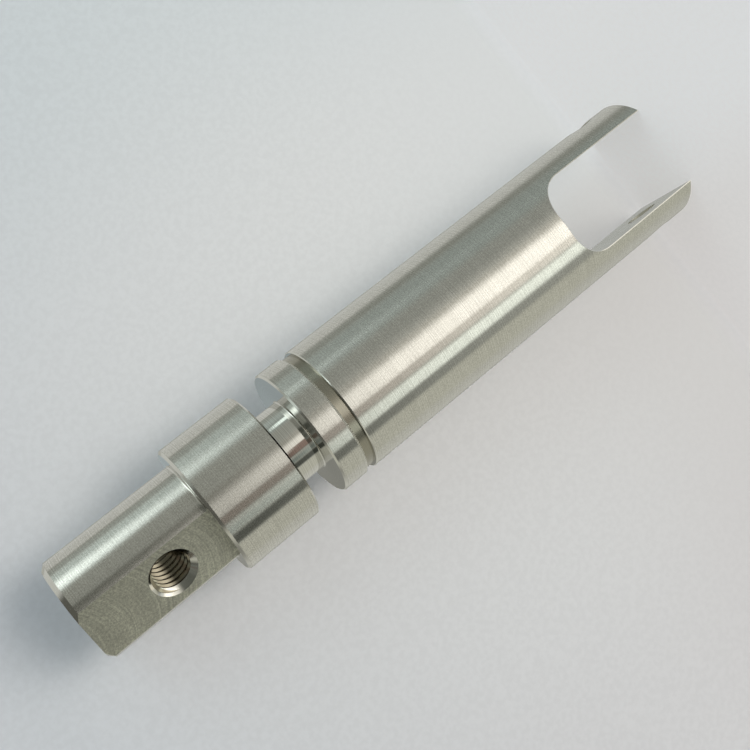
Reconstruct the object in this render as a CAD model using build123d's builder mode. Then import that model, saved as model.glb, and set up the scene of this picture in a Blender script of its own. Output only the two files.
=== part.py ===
"""Clevis rod with a set-screw shank, turned and milled in one piece from round stainless bar.

Millimetres. The bar's axis is Z. The fork's two ears stand on z = 0, and the shank is at the top.
The slot opens towards +X and -X, so the cross hole for the clevis pin runs along Y.
"""
import os
from math import hypot, isclose

from build123d import *

# Bar, with lengths along the axis from face to face
overall_length = 85.3
bar_diameter = 16.0
shank_length = 16.5
shank_diameter = 12.3
collar_length = 9.7
neck_length = 3.75
neck_diameter = 8.9
corner_radius = 0.2  # left by the turning tool at the inside corners

# Groove for a retaining ring, below the shoulder that follows the neck
shoulder_to_groove = 3.3
groove_width = 1.1
groove_depth = 0.4
groove_lead_in = 0.3  # eased edge on the shoulder's side
groove_edge_break = 0.1

# Fork
slot_width = 10.4
slot_depth = 17.9
slot_corner_radius = 4.0
pin_hole_diameter = 4.0
pin_hole_to_fork_end = 4.4

# Milled flat on the shank, with a tapped and countersunk hole right through
flat_depth = 1.2
flat_angle = -35.0  # about +Z, from the side that the slot opens on
tap_drill_diameter = 4.2
countersink_diameter = 5.5
countersink_angle = 90.0
screw_hole_to_shank_end = 10.1

# Broken outer edges
shank_end_chamfer = 0.6
collar_chamfer = 0.3
edge_break = 0.2
fork_edge_break = 0.1

# Radii, heights and directions that follow
bar_radius = bar_diameter / 2
shank_radius = shank_diameter / 2
neck_radius = neck_diameter / 2
groove_radius = bar_radius - groove_depth
collar_top = overall_length - shank_length
collar_bottom = collar_top - collar_length
shoulder = collar_bottom - neck_length
groove_top = shoulder - shoulder_to_groove
groove_bottom = groove_top - groove_width
screw_hole_height = overall_length - screw_hole_to_shank_end
flat_direction = Vector(1, 0, 0).rotate(Axis.Z, flat_angle)
cutter_reach = 2 * bar_diameter  # takes a milling cut clean out of the bar


def round_edge(height, order):
    """The turned edge at a height, counted by radius: 0 is the innermost, -1 the outermost."""
    rings = clevis_rod.edges().filter_by(GeomType.CIRCLE).filter_by_position(Axis.Z, height, height)
    return rings.sort_by(SortBy.RADIUS)[order]


def on_bar_surface(edge):
    """True where the middle of an edge lies on the bar's outside."""
    middle = edge @ 0.5
    return isclose(hypot(middle.X, middle.Y), bar_radius, rel_tol=1e-4)


with BuildPart() as clevis_rod:
    # Turned bar
    with BuildSketch(Plane.XZ):
        with BuildLine():
            Polyline(
                (0, 0),
                (bar_radius, 0),
                (bar_radius, groove_bottom),
                (groove_radius, groove_bottom),
                (groove_radius, groove_top),
                (bar_radius, groove_top),
                (bar_radius, shoulder),
                (neck_radius, shoulder),
                (neck_radius, collar_bottom),
                (bar_radius, collar_bottom),
                (bar_radius, collar_top),
                (shank_radius, collar_top),
                (shank_radius, overall_length),
                (0, overall_length),
                close=True,
            )
        make_face()
    revolve(axis=Axis.Z)

    # Inside corners, then outer edges
    fillet([round_edge(height, 0) for height in (shoulder, collar_bottom, collar_top)], corner_radius)
    chamfer(round_edge(overall_length, -1), shank_end_chamfer)
    chamfer(round_edge(collar_top, -1), collar_chamfer)
    chamfer([round_edge(height, -1) for height in (collar_bottom, shoulder)], edge_break)
    chamfer(round_edge(groove_top, -1), groove_lead_in)
    chamfer(round_edge(groove_bottom, -1), groove_edge_break)

    # Fork slot, with rounded corners at its floor
    with BuildSketch(Plane.YZ) as slot_outline:
        Rectangle(slot_width, 2 * slot_depth)
        fillet(slot_outline.vertices().group_by(Axis.Y)[-1], slot_corner_radius)
    extrude(amount=cutter_reach, both=True, mode=Mode.SUBTRACT)
    slot_rims = clevis_rod.edges().filter_by_position(Axis.Z, 0, slot_depth, inclusive=(False, True))
    ear_ends = clevis_rod.faces().filter_by_position(Axis.Z, 0, 0)
    chamfer(slot_rims.filter_by(on_bar_surface) + ear_ends.edges(), fork_edge_break)

    # Cross hole for the clevis pin, through both ears
    with Locations(Plane(origin=(0, 0, pin_hole_to_fork_end), z_dir=(0, 1, 0))):
        Hole(pin_hole_diameter / 2)

    # Flat on the shank, from the collar's face to the end
    flat_plane = Plane(
        origin=flat_direction * (shank_radius - flat_depth) + Vector(0, 0, screw_hole_height),
        x_dir=flat_direction.rotate(Axis.Z, 90),
        z_dir=flat_direction,
    )
    with BuildSketch(flat_plane):
        with Locations((0, collar_top - screw_hole_height)):
            Rectangle(cutter_reach, 2 * shank_length, align=(Align.CENTER, Align.MIN))
    extrude(amount=cutter_reach, mode=Mode.SUBTRACT)

    # Tapped hole at the middle of the flat's width
    with Locations(flat_plane):
        CounterSinkHole(
            radius=tap_drill_diameter / 2,
            counter_sink_radius=countersink_diameter / 2,
            counter_sink_angle=countersink_angle,
        )

clevis_rod.part.label = "clevis_rod"
os.makedirs("parts", exist_ok=True)
export_step(clevis_rod.part, "parts/clevis_rod.step")
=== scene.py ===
"""Dresses the clevis rod: its turned, milled and tapped body, the finishes on it and the studio round it.

Metres, in the solid's own frame: the bar's axis is Z and the fork's two ears stand on z = 0.
"""
import logging
import math
from dataclasses import dataclass, field
from enum import Enum, IntEnum

import bmesh
import bpy
from bmesh.types import BMEdge, BMesh, BMFace, BMVert
from bpy.types import Material, NodeInputs, NodeOutputs, NodeSocket, NodeTree, Object
from mathutils import Matrix, Quaternion, Vector


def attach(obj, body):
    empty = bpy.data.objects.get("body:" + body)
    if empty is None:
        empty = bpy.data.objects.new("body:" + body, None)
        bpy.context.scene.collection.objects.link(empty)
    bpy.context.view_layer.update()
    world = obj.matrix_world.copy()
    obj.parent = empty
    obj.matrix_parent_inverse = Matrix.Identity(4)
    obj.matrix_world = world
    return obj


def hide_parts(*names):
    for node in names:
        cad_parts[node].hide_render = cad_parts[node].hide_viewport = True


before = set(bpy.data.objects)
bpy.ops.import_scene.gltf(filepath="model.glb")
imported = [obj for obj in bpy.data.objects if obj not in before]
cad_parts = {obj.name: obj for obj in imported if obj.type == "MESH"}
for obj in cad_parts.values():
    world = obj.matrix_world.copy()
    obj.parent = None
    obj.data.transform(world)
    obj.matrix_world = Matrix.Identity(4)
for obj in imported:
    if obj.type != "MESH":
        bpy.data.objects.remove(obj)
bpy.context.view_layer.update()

LOG = logging.getLogger("clevis_rod")
MM = 0.001
FULL_TURN = 2 * math.pi
WELD = 1e-4 * MM
CUT_WELD = 1e-3 * MM
NOISE_LOW, NOISE_HIGH = 0.3, 0.7
ROD_NODE = "clevis_rod"

Colour = tuple[float, float, float]
WHITE: Colour = (1, 1, 1)


class Surface(IntEnum):
    """The kinds of surface on the rod, which are also its material slots in order."""

    TURNED = 0
    NECK = 1
    FACED = 2
    GROOVE = 3
    EDGE = 4
    FLAT = 5
    SLOT = 6
    BORE = 7
    THREAD = 8
    LEAD_IN = 9
    BURR = 10


class Marks(Enum):
    """The way a tool's marks run over a surface."""

    AROUND = "rings round the bar, one after another along it"
    FACING = "rings round the axis, one inside another"
    ARCS = "arcs that an end mill leaves across a flat"
    GRAIN = "no direction"


@dataclass(frozen=True)
class RodSizes:
    """The rod's sizes, as the solid has them."""

    overall_length: float = 85.3 * MM
    bar_radius: float = 8.0 * MM
    shank_length: float = 16.5 * MM
    shank_radius: float = 6.15 * MM
    collar_length: float = 9.7 * MM
    neck_length: float = 3.75 * MM
    neck_radius: float = 4.45 * MM
    corner_radius: float = 0.2 * MM
    shoulder_to_groove: float = 3.3 * MM
    groove_width: float = 1.1 * MM
    groove_depth: float = 0.4 * MM
    groove_lead_in: float = 0.3 * MM
    groove_edge_break: float = 0.1 * MM
    slot_half_width: float = 5.2 * MM
    slot_depth: float = 17.9 * MM
    slot_corner_radius: float = 4.0 * MM
    pin_hole_radius: float = 2.0 * MM
    pin_hole_height: float = 4.4 * MM
    flat_depth: float = 1.2 * MM
    flat_angle: float = math.radians(-35)
    drill_radius: float = 2.1 * MM
    countersink_radius: float = 2.75 * MM
    screw_hole_to_shank_end: float = 10.1 * MM
    thread_pitch: float = 0.8 * MM
    thread_radius: float = 2.48 * MM
    shank_end_chamfer: float = 0.6 * MM
    collar_chamfer: float = 0.3 * MM
    edge_break: float = 0.2 * MM
    fork_edge_break: float = 0.1 * MM

    @property
    def collar_top(self) -> float:
        """Height of the face that the shank rises from."""
        return self.overall_length - self.shank_length

    @property
    def collar_bottom(self) -> float:
        """Height of the collar's face over the neck."""
        return self.collar_top - self.collar_length

    @property
    def shoulder(self) -> float:
        """Height of the bar's face under the neck."""
        return self.collar_bottom - self.neck_length

    @property
    def groove_top(self) -> float:
        """Height of the ring groove's upper wall."""
        return self.shoulder - self.shoulder_to_groove

    @property
    def groove_bottom(self) -> float:
        """Height of the ring groove's lower wall."""
        return self.groove_top - self.groove_width

    @property
    def screw_hole_height(self) -> float:
        """Height of the tapped hole's axis."""
        return self.overall_length - self.screw_hole_to_shank_end

    @property
    def flat_distance(self) -> float:
        """Distance from the bar's axis to the flat."""
        return self.shank_radius - self.flat_depth

    @property
    def flat_normal(self) -> Vector:
        """The way the flat faces."""
        return Vector((math.cos(self.flat_angle), math.sin(self.flat_angle), 0))


# ---------------------------------------------------------------- mesh helpers


def mesh_object(name: str, shape: BMesh) -> Object:
    """Makes an object at the origin from a finished shape.

    Args:
        name: The object's name.
        shape: The shape, which is freed.

    Returns:
        The object, linked to the scene.
    """
    mesh = bpy.data.meshes.new(name)
    shape.to_mesh(mesh)
    shape.free()
    made = bpy.data.objects.new(name, mesh)
    bpy.context.scene.collection.objects.link(made)
    return made


def close_up(shape: BMesh) -> None:
    """Merges a spun or bridged shape's doubles and points its faces outwards.

    Args:
        shape: The shape to close.
    """
    bmesh.ops.remove_doubles(shape, verts=shape.verts[:], dist=WELD)
    bmesh.ops.recalc_face_normals(shape, faces=shape.faces[:])


def paint(shape: BMesh, surface: Surface) -> None:
    """Gives every face of a shape one kind of surface.

    Args:
        shape: The shape to paint.
        surface: The kind of surface.
    """
    for face in shape.faces:
        face.material_index = surface


def wire(shape: BMesh, points: list[Vector], closed: bool = False) -> list[BMEdge]:
    """Lays a line of edges through points.

    Args:
        shape: The shape that gets the edges.
        points: The line's points, in order.
        closed: Whether the last point joins the first.

    Returns:
        The new edges.
    """
    verts = [shape.verts.new(point) for point in points]
    pairs = list(zip(verts, verts[1:]))
    if closed:
        pairs.append((verts[-1], verts[0]))
    return [shape.edges.new(pair) for pair in pairs]


def prism(outline: list[Vector], along: Vector) -> BMesh:
    """Makes a closed solid by pushing a flat outline both ways.

    Args:
        outline: The outline's corners, in order, in a plane through the origin.
        along: Half of the way it is pushed.

    Returns:
        The solid.
    """
    shape = bmesh.new()
    face = shape.faces.new([shape.verts.new(point - along) for point in outline])
    pushed = bmesh.ops.extrude_face_region(shape, geom=[face], use_keep_orig=True)
    tops = [item for item in pushed["geom"] if isinstance(item, BMVert)]
    bmesh.ops.translate(shape, verts=tops, vec=2 * along)
    bmesh.ops.recalc_face_normals(shape, faces=shape.faces[:])
    return shape


def carve(body: Object, tools: list[Object]) -> Object:
    """Cuts tools out of a body, one after another.

    Args:
        body: The body, which is used up.
        tools: Closed cutters, which are used up. Each cut face keeps its cutter's kind of surface.

    Returns:
        The carved body.
    """
    for tool in tools:
        cut = body.modifiers.new(tool.name, "BOOLEAN")
        cut.operation = "DIFFERENCE"
        cut.solver = "EXACT"
        cut.object = tool
    carved = bpy.data.meshes.new_from_object(body.evaluated_get(bpy.context.evaluated_depsgraph_get()))
    shape = bmesh.new()
    shape.from_mesh(carved)
    bmesh.ops.remove_doubles(shape, verts=shape.verts[:], dist=CUT_WELD)
    bmesh.ops.dissolve_degenerate(shape, edges=shape.edges[:], dist=CUT_WELD)
    made = mesh_object(body.name, shape)
    bpy.data.meshes.remove(carved)
    for used in (body, *tools):
        bpy.data.objects.remove(used)
    return made


def lathe(profile: list[tuple[float, float]], steps: int) -> BMesh:
    """Spins an outline once round the axis.

    Args:
        profile: Points as distances from the axis and heights.
        steps: How many faces go round.

    Returns:
        The shape, closed up.
    """
    shape = bmesh.new()
    line = wire(shape, [Vector((radius, 0, height)) for radius, height in profile])
    bmesh.ops.spin(shape, geom=[*shape.verts, *line], cent=(0, 0, 0), axis=(0, 0, 1), angle=FULL_TURN,
                   steps=steps, use_merge=True, use_duplicate=False)
    close_up(shape)
    return shape


def corner_arc(centre: tuple[float, float], radius: float, start: float, steps: int = 6) -> list[tuple]:
    """Points of a quarter circle that an inside corner is rounded with, turning clockwise.

    Args:
        centre: The circle's centre, as a distance from the axis and a height.
        radius: The circle's radius.
        start: The angle that it starts from, in quarter turns.
        steps: How many lines stand for the arc.

    Returns:
        The points, as distances from the axis and heights.
    """
    turns = [(start - step / steps) * math.pi / 2 for step in range(steps + 1)]
    return [(centre[0] + radius * math.cos(turn), centre[1] + radius * math.sin(turn)) for turn in turns]


# ---------------------------------------------------------------- shader helpers


class Nodes:
    """A node tree with short ways to add nodes and join them."""

    def __init__(self, tree: NodeTree) -> None:
        """Keeps the tree.

        Args:
            tree: A material's, world's or group's tree.
        """
        self.tree = tree

    def add(self, kind: str, **inputs: object) -> bpy.types.Node:
        """Adds a node.

        Args:
            kind: The node's type without its ShaderNode start.
            inputs: Sockets by name, with underscores for spaces: a socket is linked and a number is set.
                A name that the node has as a property, such as operation, sets that.

        Returns:
            The node.
        """
        node = self.tree.nodes.new("ShaderNode" + kind)
        for name in [name for name in inputs if hasattr(node, name)]:
            setattr(node, name, inputs.pop(name))
        for name, value in inputs.items():
            self.put(node.inputs[name.replace("_", " ")], value)
        return node

    def put(self, socket: NodeSocket, value: object) -> None:
        """Links or sets a socket.

        Args:
            socket: The input.
            value: An output socket to link, or a number, vector or colour.
        """
        if isinstance(value, NodeSocket):
            self.tree.links.new(value, socket)
        else:
            socket.default_value = value

    def feed(self, kind: str, *values: object, **settings: object) -> NodeOutputs:
        """Adds a node and fills its inputs in order.

        Args:
            kind: The node's type without its ShaderNode start.
            values: Its inputs in order, each a socket, a number or a vector.
            settings: Its properties.

        Returns:
            Its outputs.
        """
        node = self.add(kind, **settings)
        for socket, value in zip(node.inputs, values):
            self.put(socket, value)
        return node.outputs

    def math(self, operation: str, *values: object) -> NodeSocket:
        """Adds a Math node.

        Args:
            operation: Its operation, such as MULTIPLY.
            values: Its inputs in order, each a socket or a number.

        Returns:
            Its output.
        """
        return self.feed("Math", *values, operation=operation)[0]

    def noise(self, size: float, detail: float, roughness: float = 0.5, **given: object) -> NodeSocket:
        """Adds a Noise node.

        Args:
            size: The size of its features, in metres.
            detail: Its detail.
            roughness: Its roughness.
            given: The place it is read at, and its dimensions if not three.

        Returns:
            Its output.
        """
        return self.add("TexNoise", Scale=1 / size, Detail=detail, Roughness=roughness, **given).outputs[0]

    def mix(self, factor: object, first: object, second: object, blend: str = "MIX") -> NodeSocket:
        """Adds a colour Mix node.

        Args:
            factor: How much of the second colour shows, a socket or a number.
            first: The first colour, a socket or four numbers.
            second: The second colour, a socket or four numbers.
            blend: The blend type.

        Returns:
            Its colour output.
        """
        node = self.add("Mix", data_type="RGBA", blend_type=blend)
        self.put(node.inputs["Factor"], factor)
        self.put(node.inputs[6], first)
        self.put(node.inputs[7], second)
        return node.outputs[2]

    def spread(self, value: object, low: float, high: float, to_low: float,
               to_high: float) -> NodeSocket:
        """Adds a smooth Map Range node.

        Args:
            value: The value to map.
            low: The value that gives to_low, below which it stays.
            high: The value that gives to_high, above which it stays.
            to_low: The result at low.
            to_high: The result at high.

        Returns:
            Its result.
        """
        node = self.add("MapRange", interpolation_type="SMOOTHSTEP", From_Min=low, From_Max=high,
                        To_Min=to_low, To_Max=to_high)
        self.put(node.inputs["Value"], value)
        return node.outputs[0]


def rgba(colour: Colour) -> tuple[float, float, float, float]:
    """Gives a colour full alpha.

    Args:
        colour: Red, green and blue.

    Returns:
        The colour with its alpha.
    """
    return (*colour, 1.0)


def new_group(name: str, inputs: dict[str, str],
              outputs: dict[str, str]) -> tuple[Nodes, NodeOutputs, NodeInputs]:
    """Starts a shader node group.

    Args:
        name: The group's name.
        inputs: Its inputs' names and kinds, such as Float or Vector.
        outputs: Its outputs' names and kinds.

    Returns:
        The group's tree, what it is given and what it puts out.
    """
    tree = bpy.data.node_groups.new(name, "ShaderNodeTree")
    for way, sockets in (("INPUT", inputs), ("OUTPUT", outputs)):
        for label, kind in sockets.items():
            tree.interface.new_socket(name=label, in_out=way, socket_type="NodeSocket" + kind)
    given = tree.nodes.new("NodeGroupInput").outputs
    taken = tree.nodes.new("NodeGroupOutput").inputs
    return Nodes(tree), given, taken


def blank_material(name: str) -> tuple[Material, Nodes]:
    """Starts a stage piece's material, which lights nothing by itself.

    Args:
        name: The material's name.

    Returns:
        The material and its empty tree.
    """
    made = bpy.data.materials.new(name)
    made.use_nodes = True
    made.node_tree.nodes.clear()
    made.cycles.emission_sampling = "NONE"
    return made, Nodes(made.node_tree)


@dataclass(frozen=True)
class ToolMarks:
    """The lines that a cutting edge leaves, as a shader node group.

    The group takes the distance across the lines, in metres, and the place on the piece.
    """

    line_spacing: float = 0.12 * MM
    chatter_spacing: float = 1.3 * MM
    waver: float = 0.05 * MM
    waver_size: float = 3.0 * MM
    line_share: float = 0.85
    chatter_share: float = 0.15

    def group(self) -> NodeTree:
        """Builds the group.

        Returns:
            The group, which puts out a height and a shade, both about 0 to 1.
        """
        nodes, given, taken = new_group("tool marks", {"Across": "Float", "Place": "Vector"},
                                        {"Height": "Float", "Shade": "Float"})
        drift = nodes.noise(self.waver_size, 1.0, Vector=given["Place"])
        across = nodes.math("MULTIPLY_ADD", drift, self.waver, given["Across"])
        lines = nodes.noise(self.line_spacing, 2.0, 0.65, noise_dimensions="1D", W=across)
        chatter = nodes.noise(self.chatter_spacing, 2.0, noise_dimensions="1D", W=across)
        shade = nodes.math("ADD", nodes.math("MULTIPLY", lines, self.line_share),
                           nodes.math("MULTIPLY", chatter, self.chatter_share))
        nodes.put(taken["Height"], lines)
        nodes.put(taken["Shade"], nodes.spread(shade, NOISE_LOW, NOISE_HIGH, 0.0, 1.0))
        return nodes.tree


@dataclass(frozen=True)
class Handling:
    """Faint clouding and fine speckle of bare steel, as a shader node group."""

    cloud_size: float = 2.4 * MM
    grain_size: float = 0.16 * MM

    def group(self) -> NodeTree:
        """Builds the group.

        Returns:
            The group, which puts out a cloud and a grain mask, both 0 to 1.
        """
        nodes, given, taken = new_group("handling", {"Place": "Vector"}, {"Cloud": "Float", "Grain": "Float"})
        cloud = nodes.noise(self.cloud_size, 4.0, 0.6, Vector=given["Place"])
        grain = nodes.noise(self.grain_size, 3.0, 0.7, Vector=given["Place"])
        nodes.put(taken["Cloud"], nodes.spread(cloud, NOISE_LOW, NOISE_HIGH, 0.0, 1.0))
        nodes.put(taken["Grain"], nodes.spread(grain, NOISE_LOW, NOISE_HIGH, 0.0, 1.0))
        return nodes.tree


CLOUD_TINT: Colour = (0.5, 0.49, 0.43)
GRAIN_TINT: Colour = (0.3, 0.29, 0.26)
MARK_TINT: Colour = (0.25, 0.245, 0.22)


@dataclass(frozen=True)
class SteelFinish:
    """Bare stainless steel as one way of cutting leaves it."""

    name: str
    marks: Marks
    colour: Colour = (0.66, 0.65, 0.605)
    mark_depth: float = 0.006 * MM
    mark_contrast: float = 0.12
    mark_spread: float = 1.0
    grain_depth: float = 0.0
    grain_contrast: float = 0.05
    cloud_contrast: float = 0.05
    wear_spread: float = 1.0
    roughness: float = 0.3
    roughness_spread: float = 0.06
    cloud_roughness: float = 0.4
    mark_roughness: float = 0.6
    anisotropy: float = 0.0
    arc_radius: float = 7.0 * MM

    def across(self, nodes: Nodes, place: NodeSocket, sizes: RodSizes) -> NodeSocket:
        """Measures the distance across this finish's marks.

        Args:
            nodes: The material's tree.
            place: Object coordinates.
            sizes: The rod's sizes, for the way its flat faces.

        Returns:
            The distance, in metres.
        """
        if self.marks is Marks.FACING:
            flattened = nodes.feed("VectorMath", place, (1, 1, 0), operation="MULTIPLY")[0]
            return nodes.feed("VectorMath", flattened, operation="LENGTH")["Value"]
        height = nodes.add("SeparateXYZ", Vector=place).outputs["Z"]
        if self.marks is Marks.ARCS:
            level = sizes.flat_normal.cross(Vector((0, 0, 1)))
            sideways = nodes.feed("VectorMath", place, level, operation="DOT_PRODUCT")["Value"]
            squared = nodes.math("POWER", sideways, 2.0)
            reach = nodes.math("SQRT", nodes.math("SUBTRACT", self.arc_radius**2, squared))
            return nodes.math("ADD", height, reach)
        return height

    def material(self, sizes: RodSizes, marks: NodeTree,
                 handling: NodeTree) -> Material:
        """Builds the material.

        Args:
            sizes: The rod's sizes.
            marks: The tool marks' group.
            handling: The handling group.

        Returns:
            The material.
        """
        made = bpy.data.materials.new(self.name)
        made.use_nodes = True
        nodes = Nodes(made.node_tree)
        steel = made.node_tree.nodes["Principled BSDF"]
        place = nodes.add("TexCoord").outputs["Object"]
        spread_out = nodes.add("VectorMath", operation="SCALE", Vector=place, Scale=1 / self.wear_spread)
        worn = nodes.add("Group", node_tree=handling, Place=spread_out.outputs[0]).outputs
        colour = nodes.mix(nodes.math("MULTIPLY", worn["Cloud"], self.cloud_contrast), rgba(self.colour),
                           rgba(CLOUD_TINT))
        colour = nodes.mix(nodes.math("MULTIPLY", worn["Grain"], self.grain_contrast), colour,
                           rgba(GRAIN_TINT))
        height = nodes.math("MULTIPLY", worn["Grain"], self.grain_depth)
        rough = worn["Cloud"]
        if self.marks is not Marks.GRAIN:
            across = nodes.math("DIVIDE", self.across(nodes, place, sizes), self.mark_spread)
            lines = nodes.add("Group", node_tree=marks, Across=across, Place=place).outputs
            colour = nodes.mix(nodes.math("MULTIPLY", lines["Shade"], self.mark_contrast), colour,
                               rgba(MARK_TINT))
            height = nodes.math("MULTIPLY_ADD", lines["Height"], self.mark_depth, height)
            rough = nodes.math("MULTIPLY_ADD", worn["Cloud"], self.cloud_roughness,
                               nodes.math("MULTIPLY", lines["Shade"], self.mark_roughness))
        bump = nodes.add("Bump", Strength=1.0, Distance=1.0, Height=height)
        nodes.put(steel.inputs["Base Color"], colour)
        smoothest = self.roughness - self.roughness_spread / 2
        roughest = self.roughness + self.roughness_spread / 2
        nodes.put(steel.inputs["Roughness"], nodes.spread(rough, 0.0, 1.0, smoothest, roughest))
        nodes.put(steel.inputs["Normal"], bump.outputs[0])
        steel.inputs["Metallic"].default_value = 1.0
        steel.inputs["Anisotropic"].default_value = self.anisotropy
        steel.inputs["Anisotropic Rotation"].default_value = 0.25
        return made


FINISHES: dict[Surface, SteelFinish] = {
    Surface.TURNED: SteelFinish(
        "turned_steel", Marks.AROUND, (0.77, 0.76, 0.71), mark_depth=0.0015 * MM, mark_contrast=0.27,
        grain_contrast=0.42, roughness=0.19, roughness_spread=0.04, anisotropy=1.0),
    Surface.NECK: SteelFinish(
        "polished_neck", Marks.AROUND, (0.76, 0.75, 0.70), mark_depth=0.0006 * MM, mark_contrast=0.35,
        roughness=0.05, roughness_spread=0.02),
    Surface.FACED: SteelFinish(
        "faced_steel", Marks.FACING, (0.58, 0.58, 0.55), mark_depth=0.0006 * MM, mark_contrast=0.25,
        grain_contrast=0.2, roughness=0.08, roughness_spread=0.03),
    Surface.GROOVE: SteelFinish(
        "groove_steel", Marks.AROUND, (0.38, 0.36, 0.29), mark_depth=0.002 * MM, mark_contrast=0.5,
        roughness=0.24, anisotropy=0.6),
    Surface.EDGE: SteelFinish(
        "broken_edge", Marks.GRAIN, (0.70, 0.69, 0.64), roughness=0.14, roughness_spread=0.04),
    Surface.FLAT: SteelFinish(
        "milled_flat", Marks.ARCS, (0.86, 0.86, 0.74), mark_depth=0.003 * MM, mark_contrast=0.4,
        mark_spread=2.4, grain_depth=0.007 * MM, grain_contrast=0.65, cloud_contrast=0.5, wear_spread=1.3,
        roughness=0.34),
    Surface.SLOT: SteelFinish(
        "milled_slot", Marks.AROUND, (0.62, 0.62, 0.59), mark_depth=0.002 * MM, mark_contrast=0.25,
        grain_depth=0.002 * MM, grain_contrast=0.2, roughness=0.22),
    # Painted light: the bore's colour is lighter than the bar's, lifting the shade inside the pin hole.
    Surface.BORE: SteelFinish(
        "drilled_bore_painted_light", Marks.GRAIN, (0.84, 0.83, 0.77), grain_depth=0.002 * MM, roughness=0.38),
    # Painted shade: the thread's colour is much darker than the bar's, standing in for the shade inside the
    # tapped hole.
    Surface.THREAD: SteelFinish(
        "cut_thread_painted_shade", Marks.GRAIN, (0.31, 0.28, 0.21), grain_depth=0.001 * MM, roughness=0.16),
    Surface.LEAD_IN: SteelFinish(
        "groove_lead_in", Marks.GRAIN, (0.80, 0.79, 0.73), grain_contrast=0.2, roughness=0.5),
    Surface.BURR: SteelFinish(
        "burred_edge", Marks.GRAIN, (0.46, 0.45, 0.40), grain_depth=0.012 * MM, grain_contrast=0.9,
        roughness=0.36),
}


# ---------------------------------------------------------------- the rod


@dataclass
class TurnedBar:
    """The bar as it comes off the lathe, before it is milled and drilled."""

    sizes: RodSizes
    segments: int = 360
    skin: float = 0.01 * MM
    turned_slope: float = 0.05
    faced_slope: float = 0.95

    def profile(self) -> list[tuple[float, float]]:
        """The bar's outline from the middle of the fork end to the middle of the shank end.

        Returns:
            Points as distances from the axis and heights.
        """
        s = self.sizes
        bar, neck, shank, corner = s.bar_radius, s.neck_radius, s.shank_radius, s.corner_radius
        floor = bar - s.groove_depth
        fork_end = [(0, 0), (bar - s.fork_edge_break, 0), (bar, s.fork_edge_break)]
        groove = [
            (bar, s.groove_bottom - s.groove_edge_break),
            (bar - s.groove_edge_break, s.groove_bottom),
            (floor, s.groove_bottom),
            (floor, s.groove_top),
            (bar - s.groove_lead_in, s.groove_top),
            (bar, s.groove_top + s.groove_lead_in),
        ]
        shoulder = [(bar, s.shoulder - s.edge_break), (bar - s.edge_break, s.shoulder)]
        collar = [
            (bar - s.edge_break, s.collar_bottom),
            (bar, s.collar_bottom + s.edge_break),
            (bar, s.collar_top - s.collar_chamfer),
            (bar - s.collar_chamfer, s.collar_top),
        ]
        shank_end = [
            (shank, s.overall_length - s.shank_end_chamfer),
            (shank - s.shank_end_chamfer, s.overall_length),
            (0, s.overall_length),
        ]
        return [
            *fork_end,
            *groove,
            *shoulder,
            *corner_arc((neck + corner, s.shoulder + corner), corner, start=3),
            *corner_arc((neck + corner, s.collar_bottom - corner), corner, start=2),
            *collar,
            *corner_arc((shank + corner, s.collar_top + corner), corner, start=3),
            *shank_end,
        ]

    def surface_at(self, face: BMFace) -> Surface:
        """Names the kind of surface that a turned face is.

        Args:
            face: A face of the spun bar.

        Returns:
            The kind.
        """
        s = self.sizes
        middle = face.calc_center_median()
        radius = math.hypot(middle.x, middle.y)
        upright = abs(face.normal.z)
        if s.shoulder < middle.z < s.collar_bottom and radius < s.neck_radius + s.corner_radius:
            return Surface.NECK
        if s.groove_bottom < middle.z < s.groove_top:
            return Surface.GROOVE
        below_skin = radius < s.bar_radius - self.skin
        if below_skin and s.groove_top < middle.z < s.groove_top + s.groove_lead_in:
            return Surface.LEAD_IN
        if upright < self.turned_slope:
            return Surface.TURNED
        if upright > self.faced_slope:
            return Surface.FACED
        return Surface.EDGE

    def build(self) -> Object:
        """Spins the outline round the axis.

        Returns:
            The turned bar.
        """
        shape = lathe(self.profile(), self.segments)
        for face in shape.faces:
            face.material_index = self.surface_at(face)
        return mesh_object("turned_bar", shape)


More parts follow.
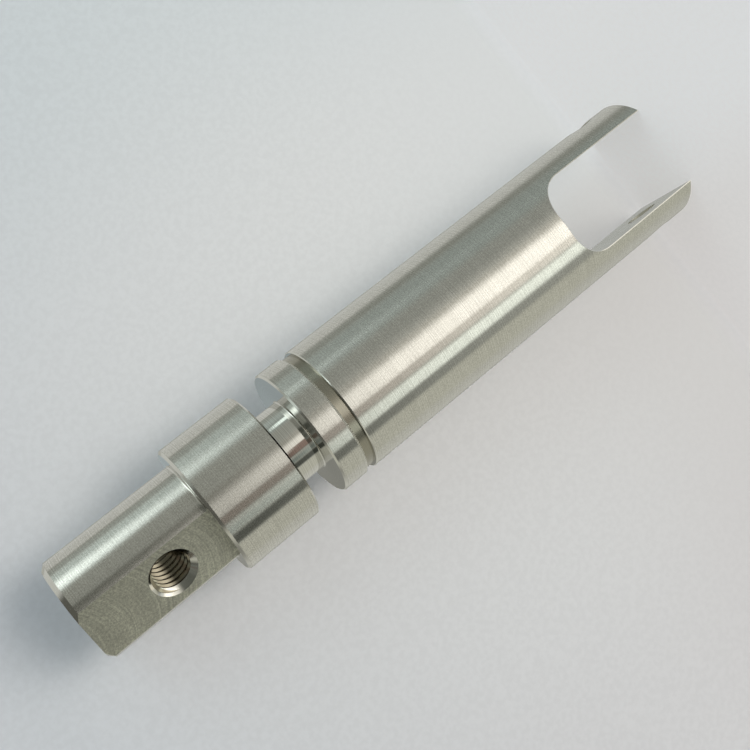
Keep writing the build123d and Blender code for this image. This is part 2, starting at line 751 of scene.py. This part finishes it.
@dataclass
class ForkCuts:
    """What is milled and drilled away to make the fork."""

    sizes: RodSizes
    corner_steps: int = 24
    overcut: float = 1.0 * MM
    rim_reach: float = 0.06 * MM
    burred_past: float = 0.95

    def slot(self) -> Object:
        """The slot with its rounded floor corners, flared where the ears' inner edges are broken.

        Returns:
            The cutter.
        """
        s = self.sizes
        half, ease, over = s.slot_half_width, s.fork_edge_break, self.overcut
        right = [(half, s.slot_depth), (half, ease), (half + 2 * ease, -ease), (half + 2 * ease, -over)]
        outline = [Vector((0, y, z)) for y, z in right] + [Vector((0, -y, z)) for y, z in reversed(right)]
        shape = prism(outline, Vector((s.bar_radius + over, 0, 0)))
        floor_corners = [
            edge for edge in shape.edges
            if all(math.isclose(vert.co.z, s.slot_depth, abs_tol=1e-6) for vert in edge.verts)
            and abs((edge.verts[0].co - edge.verts[1].co).x) > s.bar_radius
        ]
        bmesh.ops.bevel(shape, geom=floor_corners, offset=s.slot_corner_radius, offset_type="OFFSET",
                        affect="EDGES", segments=self.corner_steps, profile=0.5, material=-1)
        paint(shape, Surface.SLOT)
        return mesh_object("slot_cut", shape)

    def rim_line(self) -> list[tuple[Vector, Vector]]:
        """Follows the slot's outline from one ear's end over the floor to the other's.

        Returns:
            Points in the YZ plane, each with the way out of the slot there.
        """
        s = self.sizes
        half, round_off = s.slot_half_width, s.slot_corner_radius
        middle = half - round_off
        straight = [(Vector((0, half, -self.overcut)), Vector((0, 1, 0)))]
        arc = []
        for step in range(self.corner_steps + 1):
            turn = step / self.corner_steps * math.pi / 2
            way = Vector((0, math.cos(turn), math.sin(turn)))
            arc.append((Vector((0, middle, s.slot_depth - round_off)) + round_off * way, way))
        near = [*straight, *arc]
        centre = [(Vector((0, 0, s.slot_depth)), Vector((0, 0, 1)))]
        far = [(Vector((0, -at.y, at.z)), Vector((0, -way.y, way.z))) for at, way in reversed(near)]
        return [*near, *centre, *far]

    def rim_break(self, side: int) -> Object:
        """A three-sided bar that breaks the slot's edge on one side of the rod.

        Args:
            side: 1 for the edge towards +X, -1 for the one towards -X.

        Returns:
            The cutter.
        """
        s = self.sizes
        ease, reach = s.fork_edge_break, self.rim_reach
        shape = bmesh.new()
        rings = []
        for at, way in self.rim_line():
            outside = at + ease * way
            on_bar = outside + Vector((math.sqrt(s.bar_radius**2 - outside.y**2), 0, 0))
            on_wall = at + Vector((math.sqrt(s.bar_radius**2 - at.y**2) - ease, 0, 0))
            slope = (on_bar - on_wall).normalized()
            tip = on_wall - 2 * reach * way + Vector((4 * ease, 0, 0))
            corners = [on_bar + reach * slope, on_wall - reach * slope, tip]
            ring = [Vector((side * corner.x, corner.y, corner.z)) for corner in corners]
            rings.append(wire(shape, ring, closed=True))
        for ring, following in zip(rings, rings[1:]):
            bmesh.ops.bridge_loops(shape, edges=[*ring, *following])
        bmesh.ops.holes_fill(shape, edges=[edge for edge in shape.edges if edge.is_boundary])
        close_up(shape)
        for face in shape.faces:
            burred = face.calc_center_median().y > self.burred_past * s.slot_half_width
            face.material_index = Surface.BURR if burred else Surface.EDGE
        return mesh_object("rim_cut", shape)

    def pin_hole(self) -> Object:
        """The clevis pin's hole, along Y through both ears.

        Returns:
            The cutter.
        """
        s = self.sizes
        shape = bmesh.new()
        place = Matrix.Translation((0, 0, s.pin_hole_height)) @ Matrix.Rotation(math.pi / 2, 4, "X")
        bmesh.ops.create_cone(shape, cap_ends=True, segments=128, radius1=s.pin_hole_radius,
                              radius2=s.pin_hole_radius, depth=2 * (s.bar_radius + self.overcut),
                              matrix=place)
        paint(shape, Surface.BORE)
        return mesh_object("pin_hole_cut", shape)

    def build(self) -> list[Object]:
        """All of the fork's cutters, in the order they cut."""
        return [self.slot(), self.rim_break(1), self.rim_break(-1), self.pin_hole()]


@dataclass
class ShankCuts:
    """What is milled, drilled and tapped away on the shank."""

    sizes: RodSizes
    overcut: float = 1.0 * MM
    hole_segments: int = 144
    thread_steps: int = 60
    thread_root: float = 0.1 * MM
    thread_crest: float = 0.2 * MM

    def hole_frame(self) -> Matrix:
        """Where the tapped hole is: the origin on the bar's axis and +Z out of the flat."""
        s = self.sizes
        turn = s.flat_normal.to_track_quat("Z", "Y").to_matrix().to_4x4()
        return Matrix.Translation((0, 0, s.screw_hole_height)) @ turn

    def flat(self) -> Object:
        """The flat, from the collar's face to the shank's end.

        Returns:
            The cutter.
        """
        s = self.sizes
        depth, height = s.bar_radius, s.shank_length + self.overcut
        shape = bmesh.new()
        bmesh.ops.create_cube(shape, size=1)
        bmesh.ops.scale(shape, verts=shape.verts[:], vec=(depth, 3 * s.bar_radius, height))
        bmesh.ops.translate(shape, verts=shape.verts[:],
                            vec=(s.flat_distance + depth / 2, 0, s.collar_top + height / 2))
        bmesh.ops.rotate(shape, verts=shape.verts[:], matrix=Matrix.Rotation(s.flat_angle, 3, "Z"))
        for face in shape.faces:
            face.material_index = Surface.FLAT if abs(face.normal.z) < 0.5 else Surface.FACED
        return mesh_object("flat_cut", shape)

    def countersink(self) -> Object:
        """The tapped hole's countersunk mouth.

        Returns:
            The cutter.
        """
        s = self.sizes
        depth = s.countersink_radius - s.drill_radius + 2 * self.overcut
        shape = bmesh.new()
        place = self.hole_frame() @ Matrix.Translation((0, 0, s.flat_distance + self.overcut - depth / 2))
        bmesh.ops.create_cone(shape, cap_ends=True, segments=self.hole_segments,
                              radius1=s.countersink_radius + self.overcut - depth,
                              radius2=s.countersink_radius + self.overcut, depth=depth, matrix=place)
        paint(shape, Surface.EDGE)
        return mesh_object("countersink_cut", shape)

    def tapped_hole(self) -> Object:
        """The hole with its right-handed thread, from outside the flat to outside the shank's back.

        Returns:
            The cutter, shaped like the screw that would fill the hole.
        """
        s = self.sizes
        start = -s.shank_radius - self.overcut
        turns = math.ceil((s.shank_radius + s.flat_distance + 2 * self.overcut) / s.thread_pitch)
        flank = (s.thread_pitch - self.thread_crest - self.thread_root) / 2
        crest, root = s.drill_radius, s.thread_radius
        profile = [
            (crest, 0),
            (root, flank),
            (root, flank + self.thread_root),
            (crest, s.thread_pitch - self.thread_crest),
            (crest, s.thread_pitch),
        ]
        shape = bmesh.new()
        line = wire(shape, [Vector((radius, 0, start + along)) for radius, along in profile])
        bmesh.ops.spin(shape, geom=[*shape.verts, *line], cent=(0, 0, 0), axis=(0, 0, 1),
                       dvec=(0, 0, s.thread_pitch / self.thread_steps), angle=turns * FULL_TURN,
                       steps=turns * self.thread_steps, use_merge=False, use_duplicate=False)
        bmesh.ops.remove_doubles(shape, verts=shape.verts[:], dist=CUT_WELD)
        for end in (start, start + (turns + 1) * s.thread_pitch):
            rim = [edge for edge in shape.edges
                   if edge.is_boundary and abs(edge.verts[0].co.z - end) < 1.5 * s.thread_pitch]
            capped = bmesh.ops.extrude_edge_only(shape, edges=rim)
            loose = [item for item in capped["geom"] if isinstance(item, BMVert)]
            bmesh.ops.pointmerge(shape, verts=loose, merge_co=(0, 0, end))
        bmesh.ops.transform(shape, verts=shape.verts[:], matrix=self.hole_frame())
        bmesh.ops.triangulate(shape, faces=shape.faces[:])
        bmesh.ops.recalc_face_normals(shape, faces=shape.faces[:])
        paint(shape, Surface.THREAD)
        return mesh_object("tapped_hole_cut", shape)

    def build(self) -> list[Object]:
        """All of the shank's cutters, in the order they cut."""
        return [self.flat(), self.tapped_hole(), self.countersink()]


@dataclass
class ClevisRod:
    """The whole rod: turned bar, fork and flatted shank in one piece."""

    sizes: RodSizes = field(default_factory=RodSizes)
    sharp_angle: float = math.radians(22)
    level_slope: float = 0.02

    def set_normals(self, mesh: bpy.types.Mesh) -> None:
        """Gives round faces their true normals, so that reflections run straight past the cuts.

        Args:
            mesh: The carved mesh.
        """
        normals = [Vector((0, 0, 0))] * len(mesh.loops)
        for face in mesh.polygons:
            turned = face.material_index in (Surface.TURNED, Surface.NECK)
            if not turned or abs(face.normal.z) >= self.level_slope:
                continue
            for loop in face.loop_indices:
                at = mesh.vertices[mesh.loops[loop].vertex_index].co
                normals[loop] = Vector((at.x, at.y, 0)).normalized()
        mesh.normals_split_custom_set(normals)

    def build(self) -> Object:
        """Turns the bar, then mills, drills and taps it.

        Returns:
            The rod.
        """
        bar = TurnedBar(self.sizes).build()
        rod = carve(bar, [*ForkCuts(self.sizes).build(), *ShankCuts(self.sizes).build()])
        rod.name = rod.data.name = "clevis_rod_body"
        for face in rod.data.polygons:
            face.use_smooth = True
        rod.data.set_sharp_from_angle(angle=self.sharp_angle)
        self.set_normals(rod.data)
        return rod

    def dress(self, rod: Object) -> None:
        """Gives the rod its finishes, one for each kind of surface.

        Args:
            rod: The built rod.
        """
        marks, handling = ToolMarks().group(), Handling().group()
        for surface in Surface:
            rod.data.materials.append(FINISHES[surface].material(self.sizes, marks, handling))


# ---------------------------------------------------------------- the studio


@dataclass(frozen=True)
class Panel:
    """Something bright or dark that the steel mirrors, as a soft-edged upright band on the screen.

    Bearings and widths are in degrees, from the camera's side of the rod and growing towards -Y.
    """

    name: str
    bearing: float
    half_width: float
    softness: float
    low: Colour
    high: Colour
    flare: float = 0.0
    sill: float = -20 * MM
    fade: float = 60 * MM
    half_height: float = math.inf


@dataclass(frozen=True)
class Glow:
    """A soft round patch of the world that lights the paper."""

    bearing: float
    rise: float
    tightness: float
    colour: Colour


@dataclass
class Viewpoint:
    """The camera, given by where it stands and how it is turned."""

    bearing: float = math.radians(2.991)
    distance: float = 115.647 * MM
    height: float = 77.21 * MM
    heading: float = math.radians(3.054)
    dip: float = math.radians(15.891)
    roll: float = math.radians(-128.7)
    lens_mm: float = 50.81
    sensor_mm: float = 36.0

    def outwards(self) -> Vector:
        """The level way from the rod to the camera."""
        return Vector((math.cos(self.bearing), math.sin(self.bearing), 0))

    def build(self) -> None:
        """Makes the camera and hands the scene to it."""
        data = bpy.data.cameras.new("camera")
        data.lens, data.sensor_width = self.lens_mm, self.sensor_mm
        data.clip_start, data.clip_end = 1 * MM, 20.0
        camera = bpy.data.objects.new("camera", data)
        bpy.context.scene.collection.objects.link(camera)
        level_reach = math.cos(self.dip)
        look = Vector((-math.cos(self.heading) * level_reach, -math.sin(self.heading) * level_reach,
                       -math.sin(self.dip)))
        level = look.to_track_quat("-Z", "Y")
        camera.location = self.distance * self.outwards() + Vector((0, 0, self.height))
        camera.rotation_mode = "QUATERNION"
        camera.rotation_quaternion = level @ Quaternion((0, 0, 1), self.roll)
        bpy.context.scene.camera = camera


PAPER_PALE: Colour = (0.64, 0.65, 0.62)
ROOM = Panel("room", 0, 181, 1, low=(.38, .39, .36), high=(.36, .37, .335))
PANELS = (
    Panel("ceiling", 12, 26, 44, low=(.97, .95, .87), high=(.24, .25, .23), sill=-20 * MM, fade=70 * MM),
    Panel("camera", -5, 9, 10, low=(.76, .74, .67), high=(.11, .115, .10), sill=0.0, fade=70 * MM),
    Panel("lamp", 12.5, 7, 16, low=(1.80, 1.74, 1.63), high=(.14, .145, .125), flare=10,
          sill=2 * MM, fade=80 * MM),
    Panel("brown_shelf", 31, 6.5, 5, low=(1.34, 1.28, 1.17), high=(.15, .125, .105),
          sill=-58 * MM, fade=70 * MM),
    Panel("brown_box", 27, 9, 4, low=(.30, .22, .19), high=(.30, .22, .19), sill=-4 * MM,
          half_height=12 * MM),
    Panel("lit_wall", 50, 5.5, 7, low=(1.46, 1.53, 1.42), high=(.23, .26, .24), flare=4,
          sill=-15 * MM, fade=20 * MM),
    Panel("dark_doorway", 67, 8.5, 7, low=(.46, .47, .43), high=(.07, .075, .065), flare=-3.5, sill=-30 * MM,
          fade=50 * MM),
    Panel("window_glow", -76, 20, 26, low=(.34, .38, .36), high=(.70, .79, .76), sill=20 * MM),
    Panel("window", -64.5, 9.5, 16, low=(.34, .38, .36), high=(2.0, 2.2, 2.15), sill=72 * MM),
    Panel("window_pane", -63, 5, 5, low=(1.25, 1.42, 1.37), high=(1.25, 1.42, 1.37), sill=-4 * MM,
          half_height=10 * MM),
    # Painted shade: a dark band for the paper in the rod's shadow, mirrored near the rod's edges.
    Panel("paper_shadow_band", -101, 6, 9, low=(.28, .29, .26), high=(.40, .43, .40)),
    Panel("near_paper", 102, 25, 8, low=(.62, .62, .54), high=(.57, .57, .50)),
    Panel("far_paper", -134, 22, 5, low=PAPER_PALE, high=PAPER_PALE),
    Panel("back_paper", 136, 20, 14, low=(.62, .62, .57), high=(.28, .28, .25), sill=240 * MM, fade=110 * MM),
    Panel("back_shade", -164, 6, 8, low=(.45, .45, .41), high=(.45, .45, .41)),
    Panel("back_shelf", 162, 6, 8, low=(.45, .45, .41), high=(.45, .45, .41)),
    Panel("rod_shadow", 180, 9, 8, low=(.60, .62, .60), high=(.38, .43, .44), sill=30 * MM, fade=50 * MM),
    Panel("rod_shade", 174, 5, 5, low=(.60, .62, .60), high=(.30, .30, .27), sill=30 * MM, fade=50 * MM),
)
CROWN: Colour = (.12, .12, .105)
GLOWS = (
    Glow(9, -33, 32, (10.6, 9.85, 9.05)),
    Glow(-66, 15, 8, (1.1, 1.5, 1.6)),
)


@dataclass
class Studio:
    """A pale floor, a backdrop close behind, soft light and a screen of panels that the steel mirrors."""

    view: Viewpoint
    paper: Colour = (0.655, 0.67, 0.665)
    ambient: Colour = (0.36, 0.365, 0.37)
    wall_colour: Colour = (0.64, 0.65, 0.655)
    # The wall's foot is darker paper with a stronger glow: painted light that fills the shade near the floor.
    foot_colour: Colour = (0.395, 0.405, 0.41)
    painted_foot_fill: float = 0.45
    foot_height: float = 42 * MM
    floor_colour: Colour = (0.60, 0.57, 0.565)
    # Painted shade: the paper's colour grows darker and cooler upwards and to either side, where the light
    # falls off.
    fade_upward: Colour = (0.79, 0.815, 0.85)
    fade_left: Colour = (0.88, 0.93, 0.95)
    fade_right: Colour = (0.94, 0.92, 0.925)
    fade_height: float = 95 * MM
    fade_start: float = 18 * MM
    fade_full: float = 62 * MM
    fibre_size: float = 0.7 * MM
    fibre_contrast: float = 0.1
    fibre_tint: Colour = (0.3, 0.3, 0.3)
    # Painted shadow: the floor and the wall's foot are darker and warmer on the -Y side of the rod.
    painted_floor_shadow: Colour = (0.965, 0.935, 0.92)
    shade_start: float = 4 * MM
    shade_full: float = -12 * MM
    # The paper's glow for the camera and reflections: weak on the wall and strong on the floor, plus painted
    # light in the bend that evens its shade.
    wall_lift: float = 0.12
    floor_lift: float = 0.66
    painted_bend_fill: float = 0.048
    floor_size: float = 4.0
    sweep_gap: float = 8.05 * MM
    sweep_radius: float = 1.9 * MM
    sweep_height: float = 200 * MM
    sweep_width: float = 1.2
    sweep_steps: int = 16
    screen_steps: int = 180
    screen_radius: float = 320 * MM
    screen_bottom: float = -700 * MM
    crown_start: float = 560 * MM
    crown_full: float = 680 * MM
    screen_top: float = 500 * MM
    dome_top: float = 850 * MM

    def direction(self, bearing: float, rise: float) -> Vector:
        """The way from the rod to something round it.

        Args:
            bearing: Degrees from the camera's side, growing towards -Y.
            rise: Degrees above level.

        Returns:
            A unit vector.
        """
        turn, lift = self.view.bearing - math.radians(bearing), math.radians(rise)
        return Vector((math.cos(turn) * math.cos(lift), math.sin(turn) * math.cos(lift), math.sin(lift)))

    def hide_from(self, thing: Object, *, glossy: bool) -> None:
        """Keeps a stage piece out of the shadows and out of diffuse light.

        Args:
            thing: The stage piece.
            glossy: Whether it is kept out of reflections too.
        """
        thing.visible_shadow = False
        thing.visible_diffuse = False
        thing.visible_glossy = not glossy
        thing.visible_transmission = not glossy

    def painted_shading(self, nodes: Nodes, place: NodeSocket) -> NodeSocket:
        """Painted shade: darkens and cools the paper's colour with height and to either side, as light
        falling off away from the lamps.

        Args:
            nodes: The paper's tree.
            place: Object coordinates.

        Returns:
            A colour to multiply the paper by.
        """
        parts = nodes.add("SeparateXYZ", Vector=place).outputs
        share = nodes.math("DIVIDE", parts["Z"], self.fade_height)
        rise = nodes.math("MINIMUM", nodes.math("POWER", share, 2.0), 1.0)
        left = nodes.spread(parts["Y"], self.fade_start, self.fade_full, 0.0, 1.0)
        right = nodes.spread(parts["Y"], -self.fade_full, -self.fade_start, 1.0, 0.0)
        high = nodes.mix(rise, rgba(WHITE), rgba(self.fade_upward))
        wide = nodes.mix(left, nodes.mix(right, rgba(WHITE), rgba(self.fade_right)), rgba(self.fade_left))
        return nodes.mix(1.0, high, wide, "MULTIPLY")

    def paper_material(self, name: str, one_sided: bool) -> Material:
        """Matt pale paper whose glow paints light that keeps its shade even where it curves from the wall
        into the floor.

        Args:
            name: The material's name.
            one_sided: Whether it is clear from behind.

        Returns:
            The material.
        """
        made, nodes = blank_material(name)
        shape = nodes.add("NewGeometry").outputs
        ray = nodes.add("LightPath").outputs
        place = nodes.add("TexCoord").outputs["Object"]
        parts = nodes.add("SeparateXYZ", Vector=place).outputs
        tilt = nodes.math("ABSOLUTE", nodes.add("SeparateXYZ", Vector=shape["True Normal"]).outputs["Z"])
        upward = nodes.math("POWER", tilt, 2.0)
        foot = nodes.spread(parts["Z"], 0.0, self.foot_height, 1.0, 0.0)
        plain = nodes.mix(foot, rgba(self.wall_colour), rgba(self.foot_colour))
        plain = nodes.mix(upward, plain, rgba(self.floor_colour))
        fibre = nodes.noise(self.fibre_size, 3.0, Vector=place)
        speckle = nodes.spread(fibre, NOISE_LOW, NOISE_HIGH, 0.0, self.fibre_contrast)
        shade = nodes.mix(speckle, plain, rgba(self.fibre_tint))
        # Painted shadow: darkens the floor and the wall's foot on the -Y side of the rod.
        painted_shadow_mask = nodes.spread(parts["Y"], self.shade_full, self.shade_start, 1.0, 0.0)
        painted_shadow_mask = nodes.math("MULTIPLY", painted_shadow_mask, nodes.math("MAXIMUM", upward, foot))
        painted_shadow = nodes.mix(painted_shadow_mask, rgba(WHITE), rgba(self.painted_floor_shadow))
        painted_shading = nodes.mix(1.0, self.painted_shading(nodes, place), painted_shadow, "MULTIPLY")
        shade = nodes.mix(1.0, shade, painted_shading, "MULTIPLY")
        matt = nodes.add("BsdfDiffuse", Color=shade).outputs[0]
        # Painted light: the glow grows towards the floor and in the bend, filling the shade near the crease.
        lift = nodes.math("MULTIPLY_ADD", foot, self.painted_foot_fill - self.wall_lift, self.wall_lift)
        lift = nodes.math("ADD", nodes.math("MULTIPLY", lift, nodes.math("SUBTRACT", 1.0, upward)),
                          nodes.math("MULTIPLY", self.floor_lift, upward))
        bent = nodes.math("MULTIPLY", tilt, nodes.math("SQRT", nodes.math("SUBTRACT", 1.0, upward)))
        lift = nodes.math("MULTIPLY_ADD", bent, 2 * self.painted_bend_fill, lift)
        seen = nodes.math("MAXIMUM", ray["Is Camera Ray"], ray["Is Glossy Ray"])
        own = nodes.add("Emission", Color=nodes.mix(1.0, rgba(self.paper), painted_shading, "MULTIPLY"),
                        Strength=nodes.math("MULTIPLY", seen, lift))
        paper = nodes.feed("AddShader", matt, own.outputs[0])[0]
        if one_sided:
            clear = nodes.add("BsdfTransparent").outputs[0]
            paper = nodes.feed("MixShader", shape["Backfacing"], paper, clear)[0]
        nodes.add("OutputMaterial", Surface=paper)
        return made

    def floor(self) -> Object:
        """The floor that the fork stands on.

        Returns:
            The floor.
        """
        shape = bmesh.new()
        bmesh.ops.create_grid(shape, x_segments=1, y_segments=1, size=self.floor_size)
        made = mesh_object("floor", shape)
        made.data.materials.append(self.paper_material("floor_paper", one_sided=False))
        self.hide_from(made, glossy=True)
        return made

    def sweep(self) -> Object:
        """The upright sheet just behind the rod, curved into the floor and clear from behind.

        Returns:
            The sweep.
        """
        gap, bend = self.sweep_gap, self.sweep_radius
        shape = bmesh.new()
        bmesh.ops.create_grid(shape, x_segments=1, y_segments=1, size=self.sweep_width / 2)
        bmesh.ops.translate(shape, verts=shape.verts[:], vec=(self.sweep_width / 2, 0, 0))
        front = [edge for edge in shape.edges if all(vert.co.x < bend for vert in edge.verts)]
        bmesh.ops.translate(shape, verts=front[0].verts[:], vec=(bend, 0, 0))
        rising = bmesh.ops.spin(shape, geom=[*front, *front[0].verts], cent=(bend, 0, bend), axis=(0, 1, 0),
                                angle=math.pi / 2, steps=self.sweep_steps, use_merge=False,
                                use_duplicate=False)
        top = [item for item in rising["geom_last"] if isinstance(item, BMEdge)]
        wall = bmesh.ops.extrude_edge_only(shape, edges=top)
        raised = [item for item in wall["geom"] if isinstance(item, BMVert)]
        bmesh.ops.translate(shape, verts=raised, vec=(0, 0, self.sweep_height))
        runout = [face for face in shape.faces if face.calc_center_median().x > 2 * bend]
        bmesh.ops.delete(shape, geom=runout, context="FACES")
        bmesh.ops.translate(shape, verts=shape.verts[:], vec=(-gap, 0, 0))
        bmesh.ops.rotate(shape, verts=shape.verts[:], matrix=Matrix.Rotation(self.view.bearing, 3, "Z"))
        made = mesh_object("sweep", shape)
        for face in made.data.polygons:
            face.use_smooth = True
        out = self.view.outwards()
        if sum(face.area * face.normal.dot(out) for face in made.data.polygons) < 0:
            made.data.flip_normals()
        made.data.materials.append(self.paper_material("sweep_paper", one_sided=True))
        self.hide_from(made, glossy=True)
        return made

    def screen_material(self) -> Material:
        """The panels' light, laid out by bearing and height.

        Returns:
            The material.
        """
        glow, nodes = blank_material("light_screen")
        place = nodes.add("TexCoord").outputs["Object"]
        turned = nodes.add("VectorRotate", rotation_type="Z_AXIS", Vector=place, Angle=-self.view.bearing)
        parts = nodes.add("SeparateXYZ", Vector=turned.outputs[0]).outputs
        bearing = nodes.math("MULTIPLY", nodes.math("ARCTAN2", parts["Y"], parts["X"]), -180 / math.pi)
        shown = rgba(ROOM.low)
        for panel in (ROOM, *PANELS):
            raised = nodes.spread(parts["Z"], panel.sill - panel.fade, panel.sill + panel.fade, 0.0, 1.0)
            aside = nodes.math("SUBTRACT", bearing, panel.bearing)
            off = nodes.math("ABSOLUTE", nodes.math("WRAP", aside, 180, -180))
            narrowed = nodes.math("MULTIPLY_ADD", raised, panel.flare, off)
            edge = panel.half_width + panel.flare
            inside = nodes.spread(narrowed, edge - panel.softness / 2, edge + panel.softness / 2, 1.0, 0.0)
            if math.isfinite(panel.half_height):
                away = nodes.math("ABSOLUTE", nodes.math("SUBTRACT", parts["Z"], panel.sill))
                inside = nodes.math("MULTIPLY", inside, nodes.spread(
                    away, panel.half_height / 2, panel.half_height, 1.0, 0.0))
            lit = nodes.mix(raised, rgba(panel.low), rgba(panel.high))
            shown = nodes.mix(inside, shown, lit)
            shown.node.label = panel.name
        crowned = nodes.spread(parts["Z"], self.crown_start, self.crown_full, 0.0, 1.0)
        shown = nodes.mix(crowned, shown, rgba(CROWN))
        nodes.add("OutputMaterial", Surface=nodes.add("Emission", Color=shown).outputs[0])
        return glow

    def screen(self) -> Object:
        """The curved screen of light and shade that only the steel sees.

        Returns:
            The screen.
        """
        profile = [(self.screen_radius, self.screen_bottom), (self.screen_radius, self.screen_top),
                   (self.screen_radius / 2, (self.screen_top + 2 * self.dome_top) / 3), (0, self.dome_top)]
        made = mesh_object("light_screen", lathe(profile, self.screen_steps))
        made.data.materials.append(self.screen_material())
        self.hide_from(made, glossy=False)
        made.visible_camera = False
        return made

    def world(self) -> None:
        """Soft light with two glows, behind a plain pale background."""
        world = bpy.data.worlds.new("studio")
        world.use_nodes = True
        bpy.context.scene.world = world
        world.cycles.sampling_method = "NONE"
        nodes = Nodes(world.node_tree)
        world.node_tree.nodes.clear()
        way = nodes.add("TexCoord").outputs["Generated"]
        light = rgba(self.ambient)
        for glow in GLOWS:
            centre = self.direction(glow.bearing, glow.rise)
            facing = nodes.feed("VectorMath", way, centre, operation="DOT_PRODUCT")["Value"]
            strength = nodes.math("POWER", nodes.math("MAXIMUM", facing, 0.0), glow.tightness)
            patch = nodes.add("VectorMath", operation="SCALE", Vector=glow.colour, Scale=strength)
            light = nodes.mix(1.0, light, patch.outputs[0], "ADD")
        lighting = nodes.add("Background", Color=light, Strength=1.0).outputs[0]
        plain = nodes.add("Background", Color=rgba(self.paper), Strength=1.0).outputs[0]
        ray = nodes.add("LightPath").outputs
        seen = nodes.math("MAXIMUM", nodes.math("MAXIMUM", ray["Is Camera Ray"], ray["Is Glossy Ray"]),
                          ray["Is Transmission Ray"])
        nodes.add("OutputWorld", Surface=nodes.feed("MixShader", seen, lighting, plain)[0])

    def build(self) -> list[Object]:
        """Builds the world and every stage piece.

        Returns:
            The stage pieces.
        """
        self.world()
        return [self.floor(), self.sweep(), self.screen()]


def main() -> None:
    """Builds and dresses the rod, then sets it in the studio."""
    logging.basicConfig(level=logging.INFO, format="%(name)s: %(message)s")
    bpy.context.scene.view_settings.view_transform = "Standard"
    maker = ClevisRod()
    rod = maker.build()
    maker.dress(rod)
    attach(rod, "root")
    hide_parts(ROD_NODE)
    LOG.info("%s: %d faces in %d finishes", rod.name, len(rod.data.polygons), len(rod.data.materials))
    view = Viewpoint()
    view.build()
    for piece in Studio(view).build():
        LOG.info("%s: stage", piece.name)


if __name__ == "__main__":
    main()
